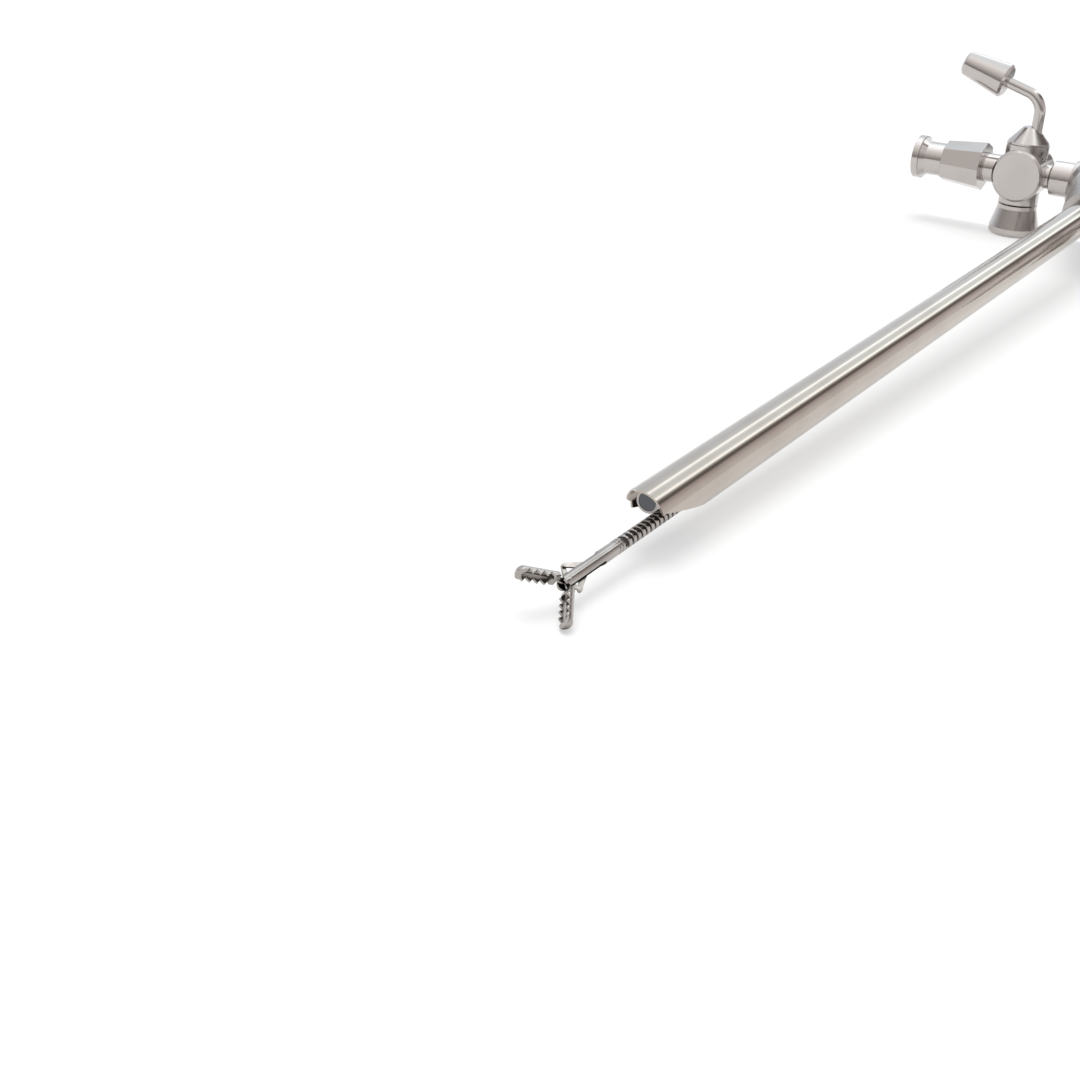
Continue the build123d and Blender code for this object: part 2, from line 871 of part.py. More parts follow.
    with BuildPart() as luer_nut:
        nut_plane = Plane(flow_plane.origin, x_dir=(0, 0, 1), z_dir=(0, side, 0))
        with BuildSketch(nut_plane.offset(nut_start)):
            RegularPolygon(luer_nut_radius, luer_nut_sides)
        extrude(amount=luer_nut_length, taper=luer_nut_taper)
        rod(flow_plane, nut_start - overrun, luer_start, luer_spigot_radius + fit_gap, Mode.SUBTRACT)
        rod(flow_plane, luer_start, nut_end + overrun, luer_body_radius + fit_gap, Mode.SUBTRACT)
    write(luer_nut, f"{name}_luer_nut")

    with BuildPart() as luer_port:
        turned(
            [
                (luer_start, luer_spigot_radius + fit_gap),
                (luer_start, luer_body_radius),
                (flange_start - luer_flange_slope, luer_body_radius),
                (flange_start, luer_flange_radius - luer_flange_step),
                (flange_start, luer_flange_radius),
                (luer_end, luer_flange_radius),
                (luer_end, luer_cone_mouth),
                (cone_root, luer_cone_root),
                (cone_root, tap_bore),
                (spigot_end + slide_gap, tap_bore),
                (spigot_end + slide_gap, luer_spigot_radius + fit_gap),
            ],
            flow_plane,
        )
    write(luer_port, f"{name}_luer_port")

# Working channel port: a straight tube with a head, a slit seal and a fluted cap

port_end = port_length + port_head_length
seal_start = port_end - seal_thickness
seal_seat = port_head_radius - port_rim
cap_start = port_length + port_cap_lap
cap_end = cap_start + port_cap_length
with BuildPart() as port_tube:
    turned(
        [
            (port_rim, channel_radius),
            (port_rim, port_radius),
            (port_length - port_head_radius + port_radius, port_radius),
            (port_length, port_head_radius),
            (port_end, port_head_radius),
            (port_end, seal_seat),
            (seal_start, seal_seat),
            (seal_start, channel_radius),
        ],
        handle_plane,
    )
write(port_tube, "port_tube")

with BuildPart() as port_seal:
    tube(handle_plane, seal_start, port_end, seal_seat - fit_gap, forceps_radius + running_gap)
write(port_seal, "port_seal")

with BuildPart() as port_cap:
    turned(
        [
            (cap_start, port_head_radius + fit_gap),
            (cap_start, port_cap_radius - edge_bevel),
            (cap_start + edge_bevel, port_cap_radius),
            (cap_end - port_cap_cone, port_cap_radius),
            (cap_end, port_cap_radius - broad_bevel * port_cap_cone),
            (cap_end, channel_radius + edge_bevel),
            (port_end + fit_gap, channel_radius + slide_gap),
            (port_end + fit_gap, port_head_radius + fit_gap),
        ],
        handle_plane,
    )
    cap_face = Plane(handle_plane.origin, x_dir=(0, 1, 0), z_dir=handle_plane.x_dir)
    with BuildSketch(cap_face.offset(cap_start)):
        with PolarLocations(port_cap_radius + port_flute_offset, port_cap_flutes):
            Circle(port_flute_radius)
    extrude(amount=port_cap_length, mode=Mode.SUBTRACT)
write(port_cap, "port_cap")

# Forceps shaft: a wire coil, wound open where it leaves the sheath, with its pull wire inside

coil_end = handle_start + coil_overlap
wire_front = bend_start + coil_overlap / 2
valley = forceps_radius - coil_groove
valley_run = coil_valley * coil_pitch
ridges = [(bend_start, coil_bore), (bend_start, forceps_radius)]
for index in range(coil_turns, 0, -1):
    crest = coil_front - index * coil_pitch
    ridges += [
        (crest, forceps_radius),
        (crest + valley_run / 2, valley),
        (crest + valley_run, valley),
        (crest + 1.5 * valley_run, forceps_radius),
    ]
ridges += [(coil_front, forceps_radius), (coil_front, coil_bore)]
with BuildPart() as forceps_coil:
    turned(ridges, channel_plane)
    bend(forceps_radius, coil_bore)
    tube(handle_plane, 0, coil_end, forceps_radius, coil_bore)
write(forceps_coil, "forceps_coil")

with BuildPart() as wire_bend:
    rod(channel_plane, bend_start, wire_front - slide_gap - drive_stroke, wire_radius)
    bend(wire_radius)
    rod(handle_plane, 0, coil_end, wire_radius)
write(wire_bend, "wire_bend")

# Forceps head: a slotted clevis with two toothed jaws worked by a drive yoke and two links

collar_grooves = []
groove_floor = forceps_radius - clevis_groove
for groove_start in (clevis_band - clevis_rear, 3 * clevis_band - clevis_rear):
    collar_grooves += [
        (groove_start, forceps_radius),
        (groove_start + clevis_groove, groove_floor),
        (groove_start + clevis_band - clevis_groove, groove_floor),
        (groove_start + clevis_band, forceps_radius),
    ]
with BuildPart() as clevis:
    turned(
        [
            (-clevis_rear, clevis_bore),
            (-clevis_rear, forceps_radius),
            *collar_grooves,
            (clevis_front, forceps_radius),
            (clevis_front, clevis_bore),
        ],
        head_plane,
    )
    slot_length = slot_rear + clevis_front + overrun
    slot_face = Plane(head_plane.origin, x_dir=(1, 0, 0), z_dir=opening)
    with BuildSketch(slot_face):
        with Locations((slot_length / 2 - slot_rear, 0)):
            Rectangle(slot_length, 2 * slot_half)
        with Locations((-slot_rear, 0)):
            Circle(slot_half)
    extrude(amount=forceps_radius + overrun, both=True, mode=Mode.SUBTRACT)
    with BuildSketch(head_plane):
        with Locations((clevis_front, 0)):
            Rectangle(2 * clevis_front, 2 * forceps_radius + overrun)
        Circle(clevis_front, mode=Mode.SUBTRACT)
        Circle(pin_radius + pin_gap)
    extrude(amount=forceps_radius + overrun, both=True, mode=Mode.SUBTRACT)
write(clevis, "clevis")

with BuildPart() as jaw_pin:
    with BuildSketch(head_plane):
        Circle(pin_radius)
    extrude(amount=forceps_radius - fit_gap, both=True)
write(jaw_pin, "jaw_pin")

half_tooth = tooth_height / 2
teeth_start = jaw_heel + tang_root
below = -2 * jaw_radius


def tooth_edge(lift, first):
    """One edge's outline: a zigzag of teeth between a flat heel and a flat tip, open below."""
    points = [(jaw_heel - overrun, below), (jaw_heel - overrun, lift), (teeth_start, lift)]
    for index in range(tooth_count):
        station = teeth_start + (index + 0.25) * tooth_pitch
        points += [(station, lift + first * half_tooth)]
        points += [(station + tooth_pitch / 2, lift - first * half_tooth)]
    points += [(teeth_start + tooth_count * tooth_pitch, lift), (jaw_length + overrun, lift)]
    points += [(jaw_length + overrun, below)]
    return points


tail_x = -tail_length * cos(radians(tail_angle))
tail_y = -tail_length * sin(radians(tail_angle))
swing = radians(jaw_open)
nose = jaw_length - jaw_nose
nose_rise = jaw_radius * cos(radians(jaw_nose_full))
nose_middle = (nose + jaw_nose * sin(radians(jaw_nose_share)), nose_rise)
tang_root_y = jaw_radius - edge_bevel
for name, sign in (("far", 1), ("near", -1)):
    ahead = Vector(cos(swing), 0, 0) + opening * (sign * sin(swing))
    jaw_plane = Plane(head_plane.origin, x_dir=ahead, z_dir=across * sign)

    with BuildPart() as jaw:
        with BuildSketch(jaw_plane):
            with BuildLine():
                Polyline(
                    (jaw_length, 0),
                    (jaw_heel, 0),
                    (jaw_heel, jaw_radius - slide_gap),
                    (jaw_heel + slide_gap, jaw_radius),
                    (nose, jaw_radius),
                )
                ThreePointArc((nose, jaw_radius), nose_middle, (jaw_length, 0))
            make_face()
        revolve(axis=Axis(jaw_plane.origin, jaw_plane.x_dir))
        for first in (1, -1):
            with BuildSketch(jaw_plane):
                with BuildLine():
                    Polyline(*tooth_edge(mesh_gap / 2, first), close=True)
                make_face()
            extrude(amount=2 * first * jaw_radius, mode=Mode.SUBTRACT)
        turned(
            [
                (teeth_start, 0),
                (teeth_start + trough_radius / 2, trough_radius),
                (nose - trough_radius / 4, trough_radius),
                (nose + trough_radius / 3, 0),
            ],
            jaw_plane,
            Mode.SUBTRACT,
        )
        with BuildSketch(jaw_plane.offset(tang_inner)):
            with BuildSketch(mode=Mode.ADD):
                Circle(tang_eye)
                with Locations((tail_x, tail_y)):
                    Circle(link_end_radius)
                make_hull()
            with BuildSketch(mode=Mode.ADD):
                Circle(tang_eye)
                with Locations((jaw_heel + tang_root / 2, tang_root_y)):
                    Rectangle(tang_root, tang_root_height)
                make_hull()
        extrude(amount=tang_outer - tang_inner)
        with BuildSketch(jaw_plane):
            Circle(pin_radius + pin_gap)
            with Locations((tail_x, tail_y)):
                Circle(rivet_radius + pin_gap)
        extrude(amount=jaw_radius, both=True, mode=Mode.SUBTRACT)
    write(jaw, f"{name}_jaw")

    with BuildPart() as link:
        with BuildSketch(head_plane.offset(sign * link_inner)):
            with BuildSketch(mode=Mode.ADD):
                with Locations((elbow_x, -sign * elbow_y)):
                    Circle(link_end_radius)
                with Locations((drive_x, 0)):
                    Circle(link_drive_radius)
                make_hull()
            with Locations((elbow_x, -sign * elbow_y)):
                Circle(rivet_radius + pin_gap, mode=Mode.SUBTRACT)
            with Locations((drive_x, 0)):
                Circle(drive_pin_radius + open_pivot_gap, mode=Mode.SUBTRACT)
        extrude(amount=sign * (link_outer - link_inner))
    write(link, f"{name}_link")

    with BuildPart() as rivet:
        with BuildSketch(head_plane.offset(sign * tang_inner)):
            with Locations((elbow_x, -sign * elbow_y)):
                Circle(rivet_radius)
        extrude(amount=sign * (link_outer - tang_inner))
    write(rivet, f"{name}_rivet")

yoke_rear = drive_x - yoke_stem
with BuildPart() as drive_yoke:
    with BuildSketch(head_plane):
        with Locations((drive_x - yoke_length / 3, 0)):
            Rectangle(yoke_length, 2 * yoke_half)
    extrude(amount=tang_outer - pin_gap, both=True)
    rod(head_plane, yoke_rear, drive_x - yoke_length / 2, clevis_bore - running_gap)
    with BuildSketch(head_plane):
        with Locations((drive_x, 0)):
            Circle(drive_pin_radius)
    extrude(amount=link_outer, both=True)
write(drive_yoke, "drive_yoke")

with BuildPart() as pull_wire:
    rod(channel_plane, wire_front, pivot_x + yoke_rear, wire_radius)
write(pull_wire, "pull_wire")

# Forceps handle: a fixed finger ring and a thumb lever that draws the pull rod back

rod_front = coil_end + slide_gap
sleeve_start = handle_start - sleeve_lead
pivot_point = (ball_station + drive_stroke / 2, lever_arm)
finger_ring = (finger_ring_station, finger_ring_drop)
thumb_ring = (thumb_ring_station, thumb_ring_drop)
cheek_inner = plate_thickness / 2 + slide_gap
cheek_outer = cheek_inner + cheek_thickness
ring_outer = ring_radius + ring_bar
thumb_arm_foot = (thumb_ring_station - thumb_arm_setback, thumb_ring_drop - ring_outer + ring_overlap)

with BuildPart() as shaft_sleeve:
    tube(handle_plane, sleeve_start, sleeve_start + sleeve_length, sleeve_radius, forceps_radius)
write(shaft_sleeve, "shaft_sleeve")

with BuildPart() as fixed_handle:
    turned(
        [
            (handle_start, sleeve_radius + fit_gap),
            (handle_start, head_radius - broad_bevel),
            (handle_start + broad_bevel, head_radius),
            (handle_start + head_length, head_radius),
            (handle_start + head_length, rod_radius + slide_gap),
            (handle_start + sleeve_seat, rod_radius + slide_gap),
            (handle_start + sleeve_seat, sleeve_radius + fit_gap),
        ],
        handle_plane,
    )
    for face in (1, -1):
        with BuildSketch(handle_plane.offset(face * cheek_inner)):
            with BuildSketch(mode=Mode.ADD):
                with Locations((handle_start + head_length - cheek_root_setback, cheek_root_lift)):
                    Circle(cheek_root_radius)
                with Locations(pivot_point):
                    Circle(screw_head_radius + screw_wall)
                make_hull()
            with Locations(pivot_point):
                Circle(screw_radius + pin_gap, mode=Mode.SUBTRACT)
        extrude(amount=face * cheek_thickness)
    with BuildSketch(handle_plane):
        with BuildSketch(mode=Mode.ADD):
            with Locations((handle_start + arm_setback, head_radius - fine_bevel)):
                Circle(arm_width / 2)
            with Locations((finger_ring_station, finger_ring_drop - ring_outer + ring_overlap)):
                Circle(arm_width / 2 - arm_taper)
            make_hull()
        with Locations(finger_ring):
            Circle(ring_outer)
            Circle(ring_radius, mode=Mode.SUBTRACT)
        with Locations((handle_start + arm_setback, 0)):
            Rectangle(2 * arm_width, 2 * (sleeve_radius + edge_bevel), mode=Mode.SUBTRACT)
    extrude(amount=plate_thickness / 2, both=True)
write(fixed_handle, "fixed_handle")

with BuildPart() as thumb_lever:
    with BuildSketch(handle_plane):
        with BuildSketch(mode=Mode.ADD):
            with Locations(pivot_point):
                Circle(screw_head_radius + lever_eye_wall)
            with Locations((ball_station, -ball_boss_drop)):
                Circle(ball_boss_radius)
            make_hull()
        with BuildSketch(mode=Mode.ADD):
            with Locations(pivot_point):
                Circle(arm_width / 2)
            with Locations(thumb_arm_foot):
                Circle(arm_width / 2 - arm_taper)
            make_hull()
        with Locations(thumb_ring):
            Circle(ring_outer)
            Circle(ring_radius, mode=Mode.SUBTRACT)
        with Locations(pivot_point):
            Circle(screw_radius + pin_gap, mode=Mode.SUBTRACT)
        with Locations((ball_station, 0)):
            Circle(ball_radius + slide_gap, mode=Mode.SUBTRACT)
        with BuildLine():
            Polyline(
                (ball_station, -rod_radius - slide_gap),
                (ball_station - ball_slot, -rod_radius - ball_slot_spread),
                (ball_station - ball_slot, rod_radius + ball_slot_spread),
                (ball_station, rod_radius + slide_gap),
                close=True,
            )
        make_face(mode=Mode.SUBTRACT)
    extrude(amount=plate_thickness / 2, both=True)
write(thumb_lever, "thumb_lever")

with BuildPart() as handle_screw:
    with BuildSketch(handle_plane):
        with Locations(pivot_point):
            Circle(screw_radius)
    extrude(amount=cheek_outer, both=True)
    for face in (1, -1):
        with BuildSketch(handle_plane.offset(face * cheek_outer)):
            with Locations(pivot_point):
                Circle(screw_head_radius)
        extrude(amount=face * screw_head_height)
write(handle_screw, "handle_screw")

with BuildPart() as pull_rod:
    rod(handle_plane, rod_front, ball_station, rod_radius)
    with Locations(handle_plane.from_local_coords(Vector(ball_station, 0, 0))):
        Sphere(ball_radius)
write(pull_rod, "pull_rod")
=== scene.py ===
import json
import math

import bmesh
import bpy
from mathutils import Matrix, Vector


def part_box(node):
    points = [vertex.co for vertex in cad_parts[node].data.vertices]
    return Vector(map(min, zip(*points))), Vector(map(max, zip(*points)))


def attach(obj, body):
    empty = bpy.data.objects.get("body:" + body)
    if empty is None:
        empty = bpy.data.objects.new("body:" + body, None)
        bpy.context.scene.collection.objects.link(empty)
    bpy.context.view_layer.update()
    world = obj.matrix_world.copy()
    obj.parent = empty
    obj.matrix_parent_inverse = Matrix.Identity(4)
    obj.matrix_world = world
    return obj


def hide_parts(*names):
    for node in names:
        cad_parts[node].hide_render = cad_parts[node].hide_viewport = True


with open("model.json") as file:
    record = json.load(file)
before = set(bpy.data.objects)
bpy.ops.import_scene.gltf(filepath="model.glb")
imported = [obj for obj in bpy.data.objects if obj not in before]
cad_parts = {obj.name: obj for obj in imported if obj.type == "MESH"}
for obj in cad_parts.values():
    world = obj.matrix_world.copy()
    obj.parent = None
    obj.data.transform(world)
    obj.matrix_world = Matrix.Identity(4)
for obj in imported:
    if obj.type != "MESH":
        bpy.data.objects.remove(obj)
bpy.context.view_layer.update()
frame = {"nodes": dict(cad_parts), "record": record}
nodes = frame["nodes"]
scene = bpy.context.scene

# Studio: a matt white plinth that the jaws and both stopcocks' caps rest on, with the forceps handle
# hanging behind it over a white table. Polished metal sees strip lamps, walls and a dark doorway.


def linear(code):
    """A colour written as sRGB hex, turned to the linear numbers that shaders take."""
    parts = [int(code[i:i + 2], 16) / 255 for i in (1, 3, 5)]
    return [c / 12.92 if c <= 0.04045 else ((c + 0.055) / 1.055) ** 2.4 for c in parts] + [1.0]


def add(tree, kind, sockets=None, **settings):
    """Add one node. A socket takes a plain value or another node's output."""
    made = tree.nodes.new(kind)
    for key, value in settings.items():
        setattr(made, key, value)
    for key, value in (sockets or {}).items():
        if isinstance(value, bpy.types.NodeSocket):
            tree.links.new(value, made.inputs[key])
        else:
            made.inputs[key].default_value = value
    return made


def blend(tree, share, first, second):
    """Mix two colours, each a plain one or another node's output. 0 gives the first alone."""
    mix = add(tree, "ShaderNodeMix", {"Factor": share, 6: first, 7: second}, data_type="RGBA")
    return mix.outputs[2]


def place_mesh(shape, name, sharp_degrees):
    """Turn a finished bmesh, in metres and in place, into an object that is smooth up to an angle."""
    mesh = bpy.data.meshes.new(name)
    shape.to_mesh(mesh)
    shape.free()
    mesh.polygons.foreach_set("use_smooth", [True] * len(mesh.polygons))
    mesh.set_sharp_from_angle(angle=math.radians(sharp_degrees))
    piece = bpy.data.objects.new(name, mesh)
    scene.collection.objects.link(piece)
    return piece


rest_gap = 0.0002
plinth_rear_margin = 0.004
plinth_front = 0.75
plinth_width = 1.0
table_half = 4.0
stage_sharp = 30.0
jaw_low = min(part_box("near_jaw")[0].z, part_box("far_jaw")[0].z)
jaw_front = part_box("near_jaw")[1].x
cap_low, cap_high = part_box("inflow_tap_cap")
cap_middle = (cap_low.x + cap_high.x) / 2
plinth_slope = (jaw_low - cap_low.z) / (jaw_front - cap_middle)
plinth_rear = cap_middle - plinth_rear_margin
table_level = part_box("thumb_lever")[0].z - rest_gap

plinth_shape = bmesh.new()
bmesh.ops.create_cube(plinth_shape, size=1.0)
for corner in plinth_shape.verts:
    x = plinth_rear if corner.co.x < 0 else plinth_front
    top = cap_low.z - rest_gap + plinth_slope * (x - cap_middle)
    corner.co = Vector((x, corner.co.y * plinth_width, top if corner.co.z > 0 else table_level))
plinth = place_mesh(plinth_shape, "plinth", stage_sharp)
table_shape = bmesh.new()
bmesh.ops.create_grid(table_shape, x_segments=1, y_segments=1, size=table_half)
table_shape.transform(Matrix.Translation((0, 0, table_level)))
table = place_mesh(table_shape, "table_top", stage_sharp)

# Matt white paint. Half of it glows where it is looked at, in a mirror too, so the floor reads white
# and keeps the object's shadow.
glow_share = 0.5
table_paint = bpy.data.materials.new("matt white table")
table_paint.use_nodes = True
tree = table_paint.node_tree
tree.nodes.clear()
ray = add(tree, "ShaderNodeLightPath")
direct = add(
    tree,
    "ShaderNodeMath",
    {0: ray.outputs["Is Camera Ray"], 1: ray.outputs["Is Transmission Ray"]},
    operation="MAXIMUM",
)
seen = add(
    tree, "ShaderNodeMath", {0: direct.outputs[0], 1: ray.outputs["Is Glossy Ray"]}, operation="MAXIMUM"
)
share = add(tree, "ShaderNodeMath", {0: seen.outputs[0], 1: glow_share}, operation="MULTIPLY")
matt = add(tree, "ShaderNodeBsdfDiffuse", {"Color": linear("#f3f2f1")})
glow = add(tree, "ShaderNodeEmission", {"Color": linear("#ffffff"), "Strength": 1.0})
mixed = add(
    tree, "ShaderNodeMixShader", {0: share.outputs[0], 1: matt.outputs[0], 2: glow.outputs[0]}
)
add(tree, "ShaderNodeOutputMaterial", {"Surface": mixed.outputs[0]})
for surface in (plinth, table):
    surface.data.materials.append(table_paint)

# What polished metal sees round the sheath's axis, in degrees from straight up towards +Y: a grey
# wall, two strip lamps with a paler ceiling between them, a dark doorway, and a grey wall again.
around = (
    (-178, "#a3a4a6"),
    (-92, "#a3a4a6"),
    (-88, "#9a9fa4"),
    (-45, "#9fa3a8"),
    (-27, "#a8aeb2"),
    (-21, "#d5dde4"),
    (-17, "#ffffff"),
    (-13, "#cfd7dc"),
    (-8, "#b5bbbf"),
    (4, "#afb5b7"),
    (14, "#b4bbbd"),
    (20, "#d1d9dd"),
    (24, "#ffffff"),
    (28, "#ccd2d4"),
    (34, "#7a7a78"),
    (39, "#555251"),
    (45, "#45403e"),
    (50, "#5a5555"),
    (55, "#817a7a"),
    (64, "#8f898a"),
    (74, "#999695"),
    (88, "#9f9d9d"),
    (94, "#a3a4a6"),
)
# The wall beyond the tip, from the floor line up to the ceiling. It fades in over a span of the
# mirrored direction's X, so the surfaces that face forward see it.
far_wall_low = "#4f4b49"
far_wall_high = "#c3c1bf"
far_wall_from = -0.2
far_wall_to = 0.5
room_light = 2.0
room_in_metal = 2.6
world = bpy.data.worlds.new("white studio")
scene.world = world
world.use_nodes = True
tree = world.node_tree
tree.nodes.clear()
direction = add(tree, "ShaderNodeTexCoord")
axes = add(tree, "ShaderNodeSeparateXYZ", {0: direction.outputs["Generated"]})
angle = add(
    tree, "ShaderNodeMath", {0: axes.outputs["Y"], 1: axes.outputs["Z"]}, operation="ARCTAN2"
)
part_turn = add(
    tree, "ShaderNodeMapRange", {"Value": angle.outputs[0], "From Min": -math.pi, "From Max": math.pi}
)
room = add(tree, "ShaderNodeValToRGB", {"Fac": part_turn.outputs[0]})
ramp = room.color_ramp
while len(ramp.elements) < len(around):
    ramp.elements.new(0.5)
for stop, (degrees, code) in zip(ramp.elements, around):
    stop.position = (degrees + 180) / 360
    stop.color = linear(code)
height = add(tree, "ShaderNodeMapRange", {"Value": axes.outputs["Z"], "From Min": 0.0, "From Max": 1.0})
far_wall = add(tree, "ShaderNodeValToRGB", {"Fac": height.outputs[0]})
far_wall.color_ramp.elements[0].color = linear(far_wall_low)
far_wall.color_ramp.elements[1].color = linear(far_wall_high)
toward = add(
    tree,
    "ShaderNodeMapRange",
    {"Value": axes.outputs["X"], "From Min": far_wall_from, "From Max": far_wall_to},
)
seen = blend(tree, toward.outputs[0], room.outputs["Color"], far_wall.outputs["Color"])
ray = add(tree, "ShaderNodeLightPath")
strength = add(
    tree,
    "ShaderNodeMapRange",
    {"Value": ray.outputs["Is Glossy Ray"], "To Min": room_light, "To Max": room_in_metal},
)
shaded = add(tree, "ShaderNodeBackground", {"Color": seen, "Strength": strength.outputs[0]})
white = add(tree, "ShaderNodeBackground", {"Color": linear("#ffffff"), "Strength": 1.0})
sky = add(
    tree,
    "ShaderNodeMixShader",
    {0: ray.outputs["Is Camera Ray"], 1: shaded.outputs[0], 2: white.outputs[0]},
)
add(tree, "ShaderNodeOutputWorld", {"Surface": sky.outputs[0]})

# One broad soft lamp almost overhead casts the shadow. The metal doesn't mirror it.
lamp = bpy.data.lights.new("window_light", "SUN")
lamp.energy = 1.4
lamp.angle = math.radians(38)
lamp_direction = Vector((-0.06, -0.12, 1.0))
lamp_holder = bpy.data.objects.new("window_light", lamp)
lamp_holder.rotation_euler = lamp_direction.to_track_quat("Z", "Y").to_euler()
lamp_holder.visible_glossy = False
scene.collection.objects.link(lamp_holder)

# Camera: a 50 mm lens close to the distal tip, looking back along the sheath and down on it, as
# the photograph does. Its place and turn were solved from the photograph's vanishing points.
camera = bpy.data.cameras.new("close_up")
camera.lens = 50.0
camera.sensor_width = 36.0
camera.clip_start = 0.005
camera.clip_end = 20.0
right = Vector((-0.5582, 0.8289, 0.037))
down = Vector((0.3558, 0.2794, -0.8918))
forward = right.cross(down).normalized()
down = forward.cross(right).normalized()
eye = Vector((0.41688, 0.07045, 0.06934))
turn = Matrix((right, -down, -forward)).transposed().to_4x4()
camera_holder = bpy.data.objects.new("close_up", camera)
camera_holder.matrix_world = Matrix.Translation(eye) @ turn
scene.collection.objects.link(camera_holder)
scene.camera = camera_holder
scene.view_settings.view_transform = "Standard"

# Sheath: a stainless steel tube drawn to an oval section, with its tip cut on the slant. Polishing
# along its length leaves sharp streaks that are slightly drawn out. Real polishing lines are some
# 0.02 mm apart, and are drawn 0.3 mm apart so that they show.
handling_marks = 110.0


def metal(name, colour, worn, roughness, spread, marks_per_metre, depth, edge_radius, hollow_shade=None):
    """Stainless steel with the fine marks of its making, which run along one axis or none.

    worn is the colour where hands have dulled it, in patches about 9 mm across. spread is how far
    the marks change the roughness. hollow_shade is painted shade: a dark colour blended in where
    ambient occlusion finds the surface hidden, and how far away it looks for cover.
    """
    made = bpy.data.materials.new(name)
    made.use_nodes = True
    tree = made.node_tree
    shader = tree.nodes["Principled BSDF"]
    place = add(tree, "ShaderNodeTexCoord")
    along = add(
        tree, "ShaderNodeMapping", {"Vector": place.outputs["Object"], "Scale": marks_per_metre}
    )
    marks = add(tree, "ShaderNodeTexNoise", {"Vector": along.outputs[0], "Scale": 1.0, "Detail": 6.0})
    handled = add(
        tree,
        "ShaderNodeTexNoise",
        {"Vector": place.outputs["Object"], "Scale": handling_marks, "Detail": 5.0},
    )
    dulled = add(
        tree,
        "ShaderNodeMapRange",
        {"Value": handled.outputs["Fac"], "From Min": 0.45, "From Max": 0.8, "To Max": 0.5},
    )
    surface = blend(tree, dulled.outputs[0], linear(colour), linear(worn))
    # Painted shade: the colour darkens where nearby geometry occludes the surface.
    if hollow_shade:
        hollow_shade_colour, reach = hollow_shade
        open_sky = add(tree, "ShaderNodeAmbientOcclusion", {"Distance": reach})
        openness = add(
            tree,
            "ShaderNodeMapRange",
            {"Value": open_sky.outputs["AO"], "From Min": 0.3, "From Max": 0.95},
        )
        surface = blend(tree, openness.outputs[0], linear(hollow_shade_colour), surface)
    rough = add(
        tree,
        "ShaderNodeMapRange",
        {
            "Value": marks.outputs["Fac"],
            "From Min": 0.3,
            "From Max": 0.7,
            "To Min": roughness - spread,
            "To Max": roughness + spread,
        },
    )
    edge = add(tree, "ShaderNodeBevel", {"Radius": edge_radius}, samples=4)
    relief = add(
        tree,
        "ShaderNodeBump",
        {
            "Height": marks.outputs["Fac"],
            "Strength": 0.3,
            "Distance": depth,
            "Normal": edge.outputs[0],
        },
    )
    tree.links.new(surface, shader.inputs["Base Color"])
    tree.links.new(rough.outputs[0], shader.inputs["Roughness"])
    tree.links.new(relief.outputs[0], shader.inputs["Normal"])
    shader.inputs["Metallic"].default_value = 1.0
    return made


def cover(node_name, material):
    """Give one CAD node its material."""
    part = nodes[node_name]
    part.data.materials.clear()
    part.data.materials.append(material)


def dress(slot_name, material):
    """Give a material to every CAD node that the record puts in a slot."""
    for entry in frame["record"]["subparts"]:
        if entry["material_slot"] == slot_name:
            cover(entry["node"], material)


drawn_steel = metal(
    "stainless tube, drawn and polished",
    colour="#b9b0a7",
    worn="#a3998f",
    roughness=0.12,
    spread=0.03,
    marks_per_metre=(70, 3500, 3500),
    depth=3e-6,
    edge_radius=0.00004,
)
dress("sheath_steel", drawn_steel)

# Telescope body, hub and light post: turned from stainless steel bar and finely blasted. The tool's
# rings still show under the blast, and keep the highlights wide and soft. They are drawn 0.3 mm
# apart, where a real tool leaves about 0.1 mm.
turned_steel = metal(
    "stainless fitting, turned and blasted",
    colour="#b7b2b0",
    worn="#a19c99",
    roughness=0.27,
    spread=0.02,
    marks_per_metre=(3600, 40, 40),
    depth=0.9e-6,
    edge_radius=0.00015,
)
dress("instrument_steel", turned_steel)

# Stopcocks, lock ring, caps and light adapter: turned and milled from stainless steel and buffed.
# Buffing rounds the edges and leaves only faint clouds 2 mm wide, so they mirror the room softly.
buffed_steel = metal(
    "stainless fitting, buffed",
    colour="#c0bab7",
    worn="#aaa5a2",
    roughness=0.16,
    spread=0.03,
    marks_per_metre=(600, 600, 600),
    depth=1e-6,
    edge_radius=0.00015,
)
dress("polished_steel", buffed_steel)

# Forceps head: jaws, links, pins and clevis, spark-cut from hard stainless steel and tumbled. Their
# highlights are small and broken, and painted shade darkens the colour in the hollows between
# the parts. The grain of the cut is really 0.02 mm, and is drawn 0.3 mm wide so that it shows.
spark_cut_steel = metal(
    "stainless forceps part, spark-cut and tumbled",
    colour="#b2aca7",
    worn="#645d57",
    roughness=0.17,
    spread=0.07,
    marks_per_metre=(1400, 3200, 3200),
    depth=4e-6,
    edge_radius=0.00003,
    # painted shade: near black where the surface is occluded within 1.3 mm
    hollow_shade=("#1c1714", 0.0013),
)
dress("forceps_steel", spark_cut_steel)

# Forceps handle and shaft: the ring plates are cut from sheet and ground, the sleeves and the rod
# are turned, and all are bead blasted, so they look even and soft, with edges broken for the hand.
# The dimples are too fine to show, and are drawn as faint clouds 2 mm wide.
blasted_steel = metal(
    "stainless steel, bead blasted",
    colour="#bab5b3",
    worn="#afaaa8",
    roughness=0.3,
    spread=0.012,
    marks_per_metre=(500, 500, 500),
    depth=4e-7,
    edge_radius=0.0003,
)
for blasted in ("fixed_handle", "thumb_lever", "pull_rod", "shaft_sleeve", "port_tube"):
    cover(blasted, blasted_steel)

